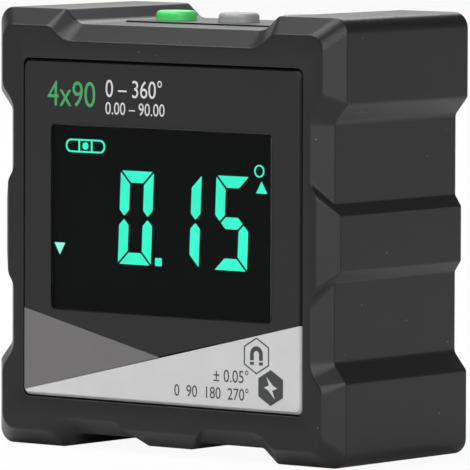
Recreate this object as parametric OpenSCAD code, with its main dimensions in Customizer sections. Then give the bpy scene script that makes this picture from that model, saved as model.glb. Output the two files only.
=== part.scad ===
// Digital angle gauge: a square, notched block with a lit display on its front face,
// three push keys in its top edge and bar magnets behind its four measuring edges.
// Millimetres. +Z is up, the display faces -Y, the origin is the centre of the footprint.

/* [Body] */
// Width and height of the square body
body_w = 60; // [58:1:76]
// Depth of the body, front face to back face
body_d = 29.5; // [28.5:0.5:40]
// Wall of the housing
wall = 2.2; // [1.8:0.1:2.6]
// Thickness of the front wall, front face to cavity
front_t = 3.5; // [3:0.1:5]
// Radius of the four outline corners
corner_r = 2.1; // [0.8:0.1:3]
// Width of the front chamfer, measured in the front face
chamfer_in = 2.3; // [1:0.1:2.8]
// Depth of the front chamfer along the wall
chamfer_deep = 2.5; // [1:0.1:4]
// Width of the fine bevel along the rear edge
rear_bevel = 0.5; // [0.2:0.1:0.8]

/* [Measuring edges] */
// Length of a corner block along the edge
block_len = 11.5; // [10.5:0.1:13]
// Run of the ramp from a corner block to the notch floor
block_ramp = 2.4; // [1.6:0.1:3]
// Depth of the notch below the corner blocks
notch_depth = 2; // [1.4:0.1:2.6]
// Width of the flat on the middle rib
rib_w = 7.5; // [5:0.1:9]
// Run of the ramp from the middle rib to the notch floor
rib_ramp = 1.45; // [1:0.05:2]
// Height of the middle rib above the notch floor
rib_rise = 1; // [0.6:0.1:1.4]
// Blend radius at the corners of the middle rib
rib_blend_r = 0.5; // [0.2:0.1:0.8]
// Blend radius at the edge of a corner block
block_blend_r = 0.8; // [0.2:0.1:1]
// Blend radius at the foot of a block ramp
foot_blend_r = 1.2; // [0.5:0.1:2]
// Blend radius at the foot of the ramps in the top recess
recess_blend_r = 2.4; // [0.5:0.1:4]

/* [Front panel] */
// Width of the front frame at each side of the panel
frame_side = 5.6; // [5:0.1:7]
// Width of the front frame above the panel
frame_top = 6.65; // [5.5:0.05:8]
// Width of the front frame below the panel
frame_bottom = 6.95; // [5.5:0.05:8]
// Corner radius of the panel
panel_r = 1; // [0.4:0.1:2]
// Depth of the panel's face below the front face
panel_drop = 0.2; // [0.15:0.05:0.6]
// Thickness of the panel
panel_t = 1.3; // [0.8:0.1:1.4]
// Width of the bevel round the panel's face
panel_edge = 0.4; // [0.2:0.05:0.6]
// Clearance between the panel and its recess
panel_gap = 0.15; // [0.05:0.05:0.2]

/* [Display] */
// Width of the panel at each side of the display window
screen_side = 5.2; // [4:0.05:8]
// Width of the panel above the display window
screen_above = 8.9; // [6:0.1:12]
// Width of the panel below the display window
screen_below = 12; // [8:0.1:14]
// Corner radius of the window
screen_r = 0.9; // [0.3:0.1:1.5]
// Height of the lens above the panel's face
lens_proud = 0.12; // [0.05:0.01:0.14]
// Width of the bevel round the lens
lens_bevel = 0.1; // [0.05:0.05:0.4]
// Thickness of the lens
lens_t = 0.4; // [0.3:0.05:0.7]
// Clearance between the lens and the panel
lens_gap = 0.05; // [0.02:0.01:0.1]
// Overlap of the display glass behind the panel, each side
glass_lap = 1.9; // [1.5:0.1:2.4]
// Thickness of the display glass
glass_t = 1.9; // [1.4:0.1:2]

/* [Figures] */
// Height of a figure as a share of the window's height
digit_share = 0.498; // [0.4:0.002:0.56]
// Height of the figures' middle above the window's middle
digit_lift = 0.4; // [0:0.05:0.8]
// Distance of the figures' middle to the left of the window's middle
digit_shift = 0.35; // [0:0.05:0.6]
// Space between neighbouring figures
digit_space = 2.58; // [1.6:0.02:3]
// Strip at each side of the window kept for the small signs
sign_strip = 2.64; // [2.2:0.01:3]
// Width of a segment
stroke = 1.6; // [1:0.1:2]
// Gap between neighbouring segments
segment_gap = 0.34; // [0.1:0.02:0.4]
// Lean of the figures in degrees
lean = 2.4; // [0:0.1:8]

/* [Board] */
// Thickness of the circuit board
board_t = 1.2; // [0.8:0.1:1.6]
// Clearance between the board and what stands round its edge
board_gap = 0.4; // [0.2:0.05:0.6]
// Diameter of the posts that carry the board
post_d = 4.6; // [4:0.1:5.4]
// Thread diameter of the small screws
screw_d = 2; // [1.6:0.1:2.2]
// Head diameter of the small screws
head_d = 3.7; // [3.2:0.1:3.9]
// Clearance round a screw in its hole
screw_gap = 0.06; // [0.02:0.01:0.1]

/* [Keys] */
// Length of a key along the edge
key_w = 5.5; // [4.5:0.1:6.2]
// Width of a key across the edge
key_d = 4.7; // [4:0.1:5.4]
// Corner radius of a key
key_r = 2; // [1:0.1:2]
// Distance from an outer key to the end of the key plate
key_end = 1.65; // [1.4:0.05:2.2]
// Distance from the front face to the middle of the keys
key_depth = 17.2; // [16.8:0.1:18]
// Height of a key above the recess
key_rise = 1.6; // [1:0.1:1.9]
// Rounding of a key's top edge
key_edge_r = 0.5; // [0.2:0.1:0.8]
// Travel of a key
key_travel = 0.5; // [0.3:0.05:0.6]
// Clearance between a key and its hole
key_gap = 0.15; // [0.1:0.01:0.25]
// Distance from the end of the key plate to the foot of the block ramp
plate_end = 0.75; // [0.4:0.05:1.2]
// Distance from the front face to the front seam of the key plate
plate_front = 11; // [10.5:0.1:11.4]
// Distance from the back face to the rear seam of the key plate
plate_rear = 4.8; // [4.4:0.1:6]
// Height of the key plate above the recess
plate_proud = 0.2; // [0:0.05:0.3]
// Clearance between the key plate and the housing
plate_gap = 0.1; // [0.05:0.01:0.15]

/* [Magnets] */
// Thickness of a bar magnet
magnet_t = 3; // [2:0.1:3.2]
// Clearance between a magnet and the walls of its pocket
magnet_gap = 0.26; // [0.1:0.02:0.5]
// Distance from the front wall to the front end of a magnet
magnet_start = 1; // [0.5:0.1:2]
// Distance from the rear end of a magnet to the ledge of the cover
magnet_end = 2.5; // [1:0.1:6]

/* [Back] */
// Thickness of the rear cover
cover_t = 2; // [1.8:0.1:2.4]
// Width of the housing's rim round the rear cover
rim_t = 1.2; // [1:0.05:1.35]
// Clearance between the rear cover and the rim
cover_gap = 0.12; // [0.05:0.01:0.2]
// Thickness of the cover seal
seal_t = 0.5; // [0.3:0.1:0.8]
// Diameter of the corner bosses for the cover screws
boss_d = 4.6; // [4.2:0.1:4.8]

/* [Power] */
// Width of the battery
battery_w = 30; // [20:0.5:34]
// Height of the battery
battery_h = 22; // [15:0.5:24]
// Thickness of the battery
battery_t = 5.5; // [4:0.5:6.5]
// Width of the charging socket
socket_w = 8.94; // [8.4:0.02:9]
// Height of the charging socket
socket_h = 3.26; // [2.8:0.02:3.4]
// Length of the charging socket
socket_l = 7.4; // [6.5:0.1:8]

/* [Hidden] */

$fn = 32;
half = body_w / 2;
cut = 0.5;
arc_step = 15;
top_edge = 2;

// Heights and depths that several pieces share. Depths count from the front face.
recess_z = body_w - notch_depth;
ceiling_z = recess_z - wall;
ledge_depth = panel_drop + panel_t;
cover_depth = body_d - cover_t;
rim_depth = cover_depth - seal_t;
boss_sink = 0.3;
boss_at = half - wall - boss_d / 2 + boss_sink;
boss_places = [for (x = [-boss_at, boss_at]) for (z = [half - boss_at, half + boss_at]) [x, z]];
cover_bore = 9;
post_bore = 6;
bore_spare = 1;

// The panel in the front frame, and the window in the panel
panel_w = body_w - 2 * frame_side;
panel_h = body_w - frame_top - frame_bottom;
panel_z = frame_bottom + panel_h / 2;
screen_w = panel_w - 2 * screen_side;
screen_h = panel_h - screen_above - screen_below;
screen_z = frame_bottom + screen_below + screen_h / 2;

// The figures in the window
digits = 4;
digit_h = digit_share * screen_h;
digit_z = screen_z + digit_lift - digit_h / 2;
digit_pitch = (screen_w - 2 * sign_strip) / digits;
digit_w = digit_pitch - digit_space;

// The key plate between the block ramps, and the three keys in it
plate_r = 1;
plate_w = 2 * (half - block_len - block_ramp - plate_end);
plate_d = body_d - plate_front - plate_rear;
plate_depth = plate_front + plate_d / 2;
key_pitch = (plate_w - key_w) / 2 - key_end;
key_places = [-key_pitch, 0, key_pitch];

// The key stack, from the plate down to the switches
flange_t = 0.8;
flange_lap = 0.9;
flange_slack = 0.05;
seal_slack = 0.25;
plate_lip = 1.1;
plate_wall = 0.5;
plate_lip_t = flange_slack + flange_t + key_travel + seal_slack;
key_seal_t = 0.6;
stem_d = 2.6;
stem_gap = 0.1;
key_seal_z = ceiling_z - plate_lip_t - key_seal_t;
plunger_d = 2.4;
plunger_gap = 0.05;
stem_below = 1;
plunger_top = key_seal_z - stem_below;
plunger_rise = 1;
switch_top = plunger_top - plunger_rise;
switch_w = 6.2;
switch_h = 3.6;
switch_d = 4.4;
plunger_bore = 1.4;
plunger_bore_slack = 0.3;
plunger_len = plunger_rise + plunger_bore - key_travel - plunger_bore_slack;

// The board sits so that its switches come under the keys
board_back = key_depth - switch_d / 2;
board_front = board_back - board_t;
board_half = half - wall - magnet_t - board_gap;
board_room = 0.6;
board_top = key_seal_z - board_room;
board_bottom = half - board_half;
post_from_side = 3.9;
post_from_bottom = 3.4;
post_from_top = 2.4;
post_x = board_half - post_from_side;
post_places = [
    for (x = [-post_x, post_x]) for (z = [board_bottom + post_from_bottom, board_top - post_from_top])
        [x, z]
];
pass_gap = 0.2;

// The display stack, from the lens back to the board
lens_front = panel_drop - lens_proud;
lens_back = lens_front + lens_t;
figure_t = 0.1;
glass_w = screen_w + 2 * glass_lap;
glass_h = screen_h + 2 * glass_lap;
glass_depth = ledge_depth;
glass_back = glass_depth + glass_t;
glass_room = 0.15;
holder_wall = 1.4;
holder_depth = max(front_t, glass_back);
strip_t = 1.6;
strip_gap = 0.05;
strip_short = 1.5;
strip_edge = 0.5;
strip_w = screen_w - 2 * strip_short;
strip_at = glass_h / 2 - strip_t / 2 - strip_edge;
guide_short = 0.5;
guide_rib = 0.8;
guide_w = screen_w - 2 * guide_short;
guide_h = 2 * (strip_at - strip_t / 2 - guide_rib);
guide_gap = 0.1;

// The charging socket stands in the upper notch of the left wall
socket_z = half + (rib_w / 2 + rib_ramp + half - block_len - block_ramp) / 2;
socket_recess = 0.6;
socket_gap = 0.15;
socket_wall = 0.3;
socket_x = -(half - notch_depth - socket_recess);
socket_depth = board_back + socket_h / 2;

// The battery lies on the rear cover
pad_t = 1;
battery_r = 1.5;
battery_low = 7;
battery_z = half - battery_low;
battery_back = cover_depth - pad_t;
battery_front = battery_back - battery_t;
pad_short = 2;
lead_d = 1.1;
lead_x = 4;
lead_from_top = 2;

// Outline functions
function unit(v) = v / norm(v);
function left_of(v) = [-v.y, v.x];
function turning(u, v) = atan2(u.x * v.y - u.y * v.x, u * v);
function quarter_turned(p, k) = k == 0 ? p : quarter_turned(left_of(p), k - 1);
function flat(p) = [p.x, p.y];

// One edge of the body as [along, below the block plane, blend radius], first corner to last ramp
function edge_profile(has_rib) =
    let (block_at = half - block_len)
    let (floor_at = block_at - block_ramp)
    let (rib_at = rib_w / 2)
    let (foot_at = rib_at + rib_ramp)
    let (rib_drop = notch_depth - rib_rise)
    let (floor_r = has_rib ? foot_blend_r : recess_blend_r)
    concat(
        [[-half, 0, corner_r], [-block_at, 0, block_blend_r], [-floor_at, notch_depth, floor_r]],
        has_rib ? [for (s = [[-foot_at, notch_depth], [-rib_at, rib_drop],
                             [rib_at, rib_drop], [foot_at, notch_depth]]) [s.x, s.y, rib_blend_r]] : [],
        [[floor_at, notch_depth, floor_r], [block_at, 0, block_blend_r]]
    );

// Sharp corners of the whole outline, counter-clockwise from the bottom left, as [x, z, radius]
function body_corners() = [
    for (k = [0:3]) for (q = edge_profile(k != top_edge))
        concat(quarter_turned([q.x, q.y - half], k), q.z)
];

// Corners of a rectangle, in the same form
function box_corners(w, h, r) = [
    for (s = [[-1, -1], [1, -1], [1, 1], [-1, 1]]) [s.x * w / 2, s.y * h / 2, r]
];

// Every side of an outline moved inwards by the same distance. Hollow corners grow rounder by it.
function inset(corners, by) = [
    let (n = len(corners))
    for (i = [0:n - 1])
        let (p = flat(corners[i]))
        let (a = left_of(unit(p - flat(corners[(i + n - 1) % n]))))
        let (b = left_of(unit(flat(corners[(i + 1) % n]) - p)))
        let (is_hollow = turning(a, b) < 0)
        concat(p + by * (a + b) / (1 + a * b), corners[i].z + (is_hollow ? max(by, 0) : 0))
];

// Round one corner by an arc that touches both of its sides
function corner_arc(before, p, after, r) =
    let (u = unit(p - before))
    let (v = unit(after - p))
    let (a = turning(u, v))
    let (steps = max(2, ceil(abs(a) / arc_step)))
    let (start = p - u * r * tan(abs(a) / 2))
    let (out = -sign(a) * left_of(u))
    [for (j = [0:steps])
        let (t = a * j / steps)
        start - r * out + r * [out.x * cos(t) - out.y * sin(t), out.x * sin(t) + out.y * cos(t)]];

function rounded(corners) = [
    let (n = len(corners))
    for (i = [0:n - 1])
        let (before = flat(corners[(i + n - 1) % n]))
        let (after = flat(corners[(i + 1) % n]))
        each corner_arc(before, flat(corners[i]), after, corners[i].z)
];

// Outline of the body moved inwards, standing at a depth behind the front face
function body_ring(by, depth) = [
    for (p = rounded(inset(body_corners(), by))) [p.x, depth - body_d / 2, p.y + half]
];

// Skin stretched over a row of rings with equally many points, closed at both ends
module skin(rings) {
    n = len(rings[0]);
    last = len(rings) - 1;
    polyhedron(
        points = [for (ring = rings) each ring],
        faces = concat(
            [[for (i = [n - 1:-1:0]) i]],
            [for (k = [0:last - 1]) for (i = [0:n - 1])
                let (j = (i + 1) % n)
                each [[k * n + i, k * n + j, k * n + n + j], [k * n + i, k * n + n + j, k * n + n + i]]],
            [[for (i = [0:n - 1]) last * n + i]]
        )
    );
}

// Skin stretched over rings that follow one another in a closed round, as on a hoop
module hoop(rings) {
    n = len(rings[0]);
    m = len(rings);
    polyhedron(
        points = [for (ring = rings) each ring],
        faces = [for (k = [0:m - 1]) for (i = [0:n - 1])
            let (j = (i + 1) % n)
            let (l = (k + 1) % m)
            each [[k * n + i, k * n + j, l * n + j], [k * n + i, l * n + j, l * n + i]]]
    );
}

// What a bevel round the whole front face takes away: its width in the face, its depth along the wall
module face_bevel(across, deep) {
    section = [
        [-cut, -cut],
        [-cut, deep * (1 + cut / across)],
        [across * (1 + cut / deep), -cut]
    ];
    hoop([for (s = section) body_ring(s.x, s.y)]);
}

// A flat outline drawn as x and z, standing between two depths behind the front face
module slab(from, to) {
    translate([0, to - body_d / 2, 0])
        rotate([90, 0, 0])
            linear_extrude(height = to - from)
                children();
}

module rounded_rect(w, h, r) {
    square([w - 2 * r, h], center = true);
    square([w, h - 2 * r], center = true);
    for (x = [-1, 1]) for (z = [-1, 1])
        translate([x * (w / 2 - r), z * (h / 2 - r)])
            circle(r);
}

module body_outline(by) {
    translate([0, half])
        polygon(rounded(inset(body_corners(), by)));
}

module at_depth(depth) {
    translate([0, depth - body_d / 2, 0])
        children();
}

// A round bar along the depth
module bar(d, from, to) {
    at_depth(to)
        rotate([90, 0, 0])
            cylinder(d = d, h = to - from);
}

module plate_shape(grow) {
    rounded_rect(plate_w + 2 * grow, plate_d + 2 * grow, plate_r);
}

module key_shape(grow) {
    rounded_rect(key_w + 2 * grow, key_d + 2 * grow, key_r + grow);
}

// Housing: the moulded tub with its front frame, notched walls, corner bosses and board posts
module housing() {
    color("#35363a")
        difference() {
            union() {
                difference() {
                    slab(0, body_d) body_outline(0);
                    slab(front_t, rim_depth + cut) body_outline(wall);
                    slab(rim_depth, body_d + cut) body_outline(rim_t);
                }
                housing_posts();
            }
            housing_openings();
            face_bevel(chamfer_in, chamfer_deep);
            mirror([0, 1, 0]) face_bevel(rear_bevel, rear_bevel);
        }
}

// Bosses for the cover screws and posts for the board, standing on the front wall
module housing_posts() {
    for (p = boss_places)
        translate([p.x, 0, p.y]) bar(boss_d, front_t - cut, rim_depth);
    for (p = post_places)
        translate([p.x, 0, p.y]) bar(post_d, front_t - cut, board_front);
}

module housing_openings() {
    panel_opening();
    key_plate_opening();
    socket_opening();
    for (p = boss_places)
        translate([p.x, 0, p.y]) bar(screw_d + 2 * screw_gap, rim_depth - cover_bore, rim_depth + cut);
    for (p = post_places)
        translate([p.x, 0, p.y]) bar(screw_d + 2 * screw_gap, board_front - post_bore, board_front + cut);
}

// The panel's recess, and the window behind it that the display glass stands in
module panel_opening() {
    slab(-cut, ledge_depth)
        translate([0, panel_z]) rounded_rect(panel_w, panel_h, panel_r);
    slab(ledge_depth - cut, front_t + cut)
        translate([0, screen_z])
            square([glass_w + 2 * glass_room, glass_h + 2 * glass_room], center = true);
}

module key_plate_opening() {
    at_depth(plate_depth)
        translate([0, 0, ceiling_z - cut])
            linear_extrude(height = wall + 2 * cut)
                plate_shape(plate_gap);
}

module socket_shape(grow) {
    flat_end = 0.02;
    rounded_rect(socket_h + 2 * grow, socket_w + 2 * grow, (socket_h - flat_end) / 2 + grow);
}

// A shape drawn across the left wall, drawn as depth and height, reaching inwards from x
module through_left(x, length) {
    at_depth(socket_depth)
        translate([x, 0, socket_z])
            rotate([90, 0, 90])
                linear_extrude(height = length)
                    children();
}

module socket_opening() {
    through_left(-half, half - board_half) socket_shape(socket_gap);
}

// A rectangle with rounded corners as a ring at a height, standing at a depth behind the front face
function face_ring(w, h, r, z, depth) = [
    for (p = rounded(box_corners(w, h, r))) [p.x, depth - body_d / 2, p.y + z]
];

// Front panel: printed plate with a bevelled edge and the window for the lens
module front_panel() {
    function panel_ring(by, depth) =
        let (inwards = 2 * (panel_gap + by))
        face_ring(panel_w - inwards, panel_h - inwards, panel_r, panel_z, depth);
    color("#333438")
        difference() {
            skin([
                panel_ring(panel_edge, panel_drop),
                panel_ring(0, panel_drop + panel_edge),
                panel_ring(0, ledge_depth)
            ]);
            slab(panel_drop - cut, ledge_depth + cut)
                translate([0, screen_z]) rounded_rect(screen_w, screen_h, screen_r);
        }
}

// Display lens: clear window with a small bevel, standing just proud of the panel
module display_lens() {
    function lens_ring(by, depth) =
        let (inwards = 2 * (lens_gap + by))
        face_ring(screen_w - inwards, screen_h - inwards, screen_r, screen_z, depth);
    color("#0d0f10")
        skin([
            lens_ring(lens_bevel, lens_front),
            lens_ring(0, panel_drop),
            lens_ring(0, lens_back)
        ]);
}

// Outlines of the seven segments of one figure, clockwise from the top, with the middle one last
function mirrored_x(points) = [for (p = points) [digit_w - p.x, p.y]];
function mirrored_z(points) = [for (p = points) [p.x, digit_h - p.y]];
function segments() =
    let (mid = digit_h / 2)
    let (tip = stroke / 2)
    let (gap = segment_gap / 2)
    let (slant_gap = gap * sqrt(2))
    let (top = [[slant_gap, digit_h], [digit_w - slant_gap, digit_h],
                [digit_w - stroke - slant_gap, digit_h - stroke], [stroke + slant_gap, digit_h - stroke]])
    let (side = [[0, digit_h - slant_gap], [stroke, digit_h - stroke - slant_gap],
                 [stroke, mid + tip + slant_gap], [tip, mid + slant_gap], [0, mid + tip + slant_gap]])
    let (middle = [for (s = [[-1, 0], [-1, 1], [1, 1], [1, 0], [1, -1], [-1, -1]])
        [digit_w / 2 + s.x * (digit_w / 2 - slant_gap - (s.y == 0 ? tip : stroke)), mid + s.y * tip]])
    [top, mirrored_x(side), mirrored_z(mirrored_x(side)), mirrored_z(top), mirrored_z(side), side, middle];

module leaning(points) {
    polygon([for (p = points) [p.x + (p.y - digit_h / 2) * tan(lean), p.y]]);
}

// A small spirit level: a tube in outline, its bubble and a mark at each side of the bubble
module level_sign() {
    tube_w = 6.9;
    tube_h = 1.85;
    tube_r = 0.9;
    line_w = 0.24;
    bubble_d = 1;
    mark_x = 1.1;
    difference() {
        rounded_rect(tube_w, tube_h, tube_r);
        rounded_rect(tube_w - 2 * line_w, tube_h - 2 * line_w, tube_r - line_w);
    }
    circle(d = bubble_d);
    for (s = [-1, 1])
        translate([s * mark_x, 0]) square([line_w, tube_h - line_w], center = true);
}

// Segments of the display that are lit, between the lens and the polariser
module lcd_segments() {
    reading = [[], [0, 1, 2, 3, 4, 5], [1, 2], [0, 2, 3, 5, 6]];
    point_w = 1.1;
    point_x = -0.2;
    sign_w = 1.86;
    sign_h = 1.6;
    sign_from_side = 1.69;
    sign_x = screen_w / 2 - sign_from_side;
    ring_d = 1.7;
    ring_w = 0.2;
    ring_x = sign_x - 2 * ring_w;
    level_from_side = 6.2;
    level_from_top = 2.95;
    color("#3ef0bd")
        translate([-digit_shift, 0, 0])
            slab(lens_back, lens_back + figure_t) {
                translate([screen_w / -2 + level_from_side, screen_z + screen_h / 2 - level_from_top])
                    level_sign();
                for (i = [0:digits - 1])
                    translate([(i - (digits - 1) / 2) * digit_pitch - digit_w / 2, digit_z])
                        for (k = reading[i]) leaning(segments()[k]);
                translate([point_x, digit_z + point_w / 2]) square(point_w, center = true);
                translate([ring_x, digit_z + digit_h + ring_d / 2])
                    difference() {
                        circle(d = ring_d);
                        circle(d = ring_d - 2 * ring_w);
                    }
                translate([sign_x, digit_z + digit_h - 4 / 3 * sign_h])
                    polygon([[-sign_w / 2, 0], [sign_w / 2, 0], [0, sign_h]]);
                translate([-sign_x, digit_z + 3 / 2 * sign_h])
                    polygon([[-sign_w / 2, 0], [0, -sign_h], [sign_w / 2, 0]]);
            }
}

// Display glass against the back of the panel, with its polariser filling the window behind the lens
module lcd_glass() {
    color("#101214") {
        slab(glass_depth, glass_back)
            translate([0, screen_z]) square([glass_w, glass_h], center = true);
        slab(lens_back + figure_t, glass_depth)
            translate([0, screen_z])
                rounded_rect(screen_w - 2 * lens_gap, screen_h - 2 * lens_gap, screen_r);
    }
}

// Holder: the frame that presses the glass forward and guides the contact strips to the board
module lcd_holder() {
    color("#e8e8e4")
        slab(holder_depth, board_front)
            translate([0, screen_z])
                difference() {
                    square([glass_w + 2 * holder_wall, glass_h + 2 * holder_wall], center = true);
                    square([guide_w + 2 * guide_gap, guide_h + 2 * guide_gap], center = true);
                    for (s = [-1, 1])
                        translate([0, s * strip_at])
                            square([strip_w + 2 * strip_gap, strip_t + 2 * strip_gap], center = true);
                }
}

// Rubber contact strips between the edge of the glass and the board
module contact_strips() {
    color("#3c3c3c")
        slab(glass_back, board_front)
            for (s = [-1, 1])
                translate([0, screen_z + s * strip_at]) square([strip_w, strip_t], center = true);
}

led_places = [-guide_w / 4, guide_w / 4];
led_w = 3.5;
led_h = 2.8;
led_t = 1.4;
led_gap = 0.1;

// Light guide: a milky block behind the glass, hollowed over the lamps
module light_guide() {
    color("#f4f7f2")
        difference() {
            slab(glass_back, board_front)
                translate([0, screen_z]) square([guide_w, guide_h], center = true);
            for (x = led_places)
                slab(board_front - led_t - led_gap, board_front + cut)
                    translate([x, screen_z])
                        square([led_w + 2 * led_gap, led_h + 2 * led_gap], center = true);
        }
}

module backlight_leds() {
    color("#f6efc0")
        slab(board_front - led_t, board_front)
            for (x = led_places)
                translate([x, screen_z]) square([led_w, led_h], center = true);
}

// Main board, notched round the corner bosses and drilled for its screws
module main_board() {
    color("#1f6b45")
        difference() {
            slab(board_front, board_back)
                difference() {
                    translate([-board_half, board_bottom])
                        square([2 * board_half, board_top - board_bottom]);
                    for (p = boss_places) translate(p) circle(d = boss_d + 2 * board_gap);
                }
            for (p = post_places)
                translate([p.x, 0, p.y]) bar(screw_d + 2 * pass_gap, board_front - cut, board_back + cut);
        }
}

// A cross recess in a screw head whose top lies at a depth and faces the back
module cross_recess(depth) {
    slot_w = 0.5;
    slot_l = 2;
    slot_deep = 0.6;
    slab(depth - slot_deep, depth + cut)
        union() {
            square([slot_l, slot_w], center = true);
            square([slot_w, slot_l], center = true);
        }
}

module board_screws() {
    head_t = 1.3;
    reach = post_bore - bore_spare;
    color("#b9bcc0")
        for (p = post_places)
            translate([p.x, 0, p.y])
                difference() {
                    union() {
                        bar(head_d, board_back, board_back + head_t);
                        bar(screw_d, board_front - reach, board_back + head_t / 2);
                    }
                    cross_recess(board_back + head_t);
                }
}

// The chips across the lower half of the board
chip_row_z = board_bottom + 0.65 * board_half;
controller_w = 7;
controller_t = 1.4;
controller_x = -0.4 * board_half;
pins = 8;
pin_pitch = 0.8;
pin_w = 0.35;
pin_t = 0.5;
pin_out = 1;
pin_in = 0.2;
sensor_w = 5;
sensor_t = 1.1;
sensor_x = 0.33 * board_half;
charger_w = 4;
charger_h = 5;
charger_t = 1.3;
charger_x = -0.53 * board_half;
small_count = 5;
small_pitch = 2.6;
small_w = 2;
small_h = 1.2;
small_t = 0.8;
small_x = 0.57 * board_half;

// A chip body on the back of the board
module chip(at, w, h, t) {
    slab(board_back, board_back + t)
        translate(at) square([w, h], center = true);
}

// Microcontroller: a flat square body with eight pins on each side
module microcontroller() {
    pin_x = controller_w / 2 - pin_in;
    color("#1a1b1d")
        union() {
            chip([controller_x, chip_row_z], controller_w, controller_w, controller_t);
            for (k = [0:3]) for (i = [0:pins - 1])
                translate([controller_x, 0, chip_row_z])
                    rotate([0, k * 90, 0])
                        slab(board_back, board_back + pin_t)
                            translate([pin_x, pin_pitch * (i - (pins - 1) / 2) - pin_w / 2])
                                square([pin_in + pin_out, pin_w]);
        }
}

// Tilt sensor: a sealed chip that feels the direction of gravity
module tilt_sensor() {
    color("#232427") chip([sensor_x, chip_row_z], sensor_w, sensor_w, sensor_t);
}

// Charger chip beside the charging socket
module charger_chip() {
    color("#1d1e20") chip([charger_x, socket_z], charger_w, charger_h, charger_t);
}

// Row of small capacitors and resistors beside the sensor
module small_parts() {
    color("#b08d57")
        for (i = [0:small_count - 1])
            let (z = chip_row_z + (i - (small_count - 1) / 2) * small_pitch)
                chip([small_x, z], small_w, small_h, small_t);
}

// Charging socket: a drawn steel shell with its contact tongue, lying on the board
module charging_socket() {
    end_t = 1;
    tongue_t = 0.7;
    tongue_back = 0.8;
    tongue_side = 1.15;
    color("#c3c6ca") {
        difference() {
            through_left(socket_x, socket_l) socket_shape(0);
            through_left(socket_x - cut, socket_l - end_t + cut) socket_shape(-socket_wall);
        }
        through_left(socket_x + tongue_back, socket_l - tongue_back - end_t / 2)
            square([tongue_t, socket_w - 2 * tongue_side], center = true);
    }
}

module battery() {
    color("#b9c2cc")
        slab(battery_front, battery_back)
            translate([0, battery_z]) rounded_rect(battery_w, battery_h, battery_r);
}

// Two short leads from the battery to the board
module battery_leads() {
    color("#b3261e")
        for (x = [-lead_x, lead_x])
            translate([x, 0, battery_z + battery_h / 2 - lead_from_top])
                bar(lead_d, board_back, battery_front);
}

// Foam pad that holds the battery on the rear cover
module battery_pad() {
    color("#55585c")
        slab(battery_back, cover_depth)
            translate([0, battery_z])
                square([battery_w - 2 * pad_short, battery_h - 2 * pad_short], center = true);
}

// Key plate: insert that stands just proud of the top recess, with a lip under the wall
module key_plate() {
    color("#3a3b40")
        at_depth(plate_depth)
            difference() {
                union() {
                    translate([0, 0, ceiling_z])
                        linear_extrude(height = wall + plate_proud) plate_shape(0);
                    translate([0, 0, ceiling_z - plate_lip_t])
                        linear_extrude(height = plate_lip_t) plate_shape(plate_lip);
                }
                translate([0, 0, ceiling_z - plate_lip_t - cut])
                    linear_extrude(height = plate_lip_t + cut) plate_shape(-plate_wall);
                for (x = key_places)
                    translate([x, key_depth - plate_depth, ceiling_z - cut])
                        linear_extrude(height = wall + 2 * cut) key_shape(key_gap);
            }
}

// Rubber sheet under the plate that wipes the three stems
module key_seal() {
    color("#2b2c2e")
        at_depth(plate_depth)
            translate([0, 0, key_seal_z])
                difference() {
                    linear_extrude(height = key_seal_t) plate_shape(plate_lip);
                    for (x = key_places)
                        translate([x, key_depth - plate_depth, -cut])
                            cylinder(d = stem_d + 2 * stem_gap, h = key_seal_t + 2 * cut);
                }
}

// One key: soft-edged cap through the plate, retaining flange under it and stem to the switch
module key(x) {
    cap_top = recess_z + key_rise;
    flange_z = ceiling_z - flange_slack - flange_t;
    function cap_ring(by, z) = [
        for (p = rounded(box_corners(key_w - 2 * by, key_d - 2 * by, key_r - by))) [p.x, p.y, z]
    ];
    at_depth(key_depth)
        translate([x, 0, 0])
            union() {
                skin(concat(
                    [for (a = [90:-22.5:0])
                        cap_ring(key_edge_r * (1 - cos(a)), cap_top - key_edge_r * (1 - sin(a)))],
                    [cap_ring(0, flange_z + flange_t / 2)]
                ));
                translate([0, 0, flange_z])
                    linear_extrude(height = flange_t) key_shape(flange_lap);
                translate([0, 0, plunger_top])
                    cylinder(d = stem_d, h = flange_z + flange_t / 2 - plunger_top);
            }
}

module green_key() {
    color("#4fce68") key(key_places[0]);
}

module centre_key() {
    color("#8f9196") key(key_places[1]);
}

module right_key() {
    color("#8f9196") key(key_places[2]);
}

// Side-push switches on the back of the board, one under each key
module key_switches() {
    color("#26272a")
        for (x = key_places)
            at_depth(key_depth)
                translate([x, 0, switch_top - switch_h])
                    difference() {
                        translate([-switch_w / 2, -switch_d / 2, 0]) cube([switch_w, switch_d, switch_h]);
                        translate([0, 0, switch_h - plunger_bore])
                            cylinder(d = plunger_d + 2 * plunger_gap, h = plunger_bore + cut);
                    }
}

module plunger(x) {
    color("#d9d4c5")
        at_depth(key_depth)
            translate([x, 0, plunger_top - plunger_len])
                cylinder(d = plunger_d, h = plunger_len);
}

module green_plunger() {
    plunger(key_places[0]);
}

module centre_plunger() {
    plunger(key_places[1]);
}

module right_plunger() {
    plunger(key_places[2]);
}

// A magnet fills the room behind a corner block, from the foot of its ramp to the corner boss
ramp_angle = atan2(notch_depth, block_ramp);
pocket_from = half - block_len + (wall + block_blend_r) * tan(ramp_angle / 2);
pocket_to = boss_at - boss_d / 2;
magnet_at = (pocket_from + pocket_to) / 2;
magnet_w = pocket_to - pocket_from - 2 * magnet_gap;
magnet_from = front_t + magnet_start;
magnet_l = rim_depth - magnet_end - magnet_from;

// The pair of bar magnets along one edge, counted from the bottom edge
module magnet_pair(k) {
    color("#a7abb0")
        translate([0, 0, half])
            rotate([0, -90 * k, 0])
                for (s = [-1, 1])
                    at_depth(magnet_from)
                        translate([s * magnet_at - magnet_w / 2, 0, wall - half])
                            cube([magnet_w, magnet_l, magnet_t]);
}

module bottom_magnets() {
    magnet_pair(0);
}

module right_magnets() {
    magnet_pair(1);
}

module top_magnets() {
    magnet_pair(2);
}

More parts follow.
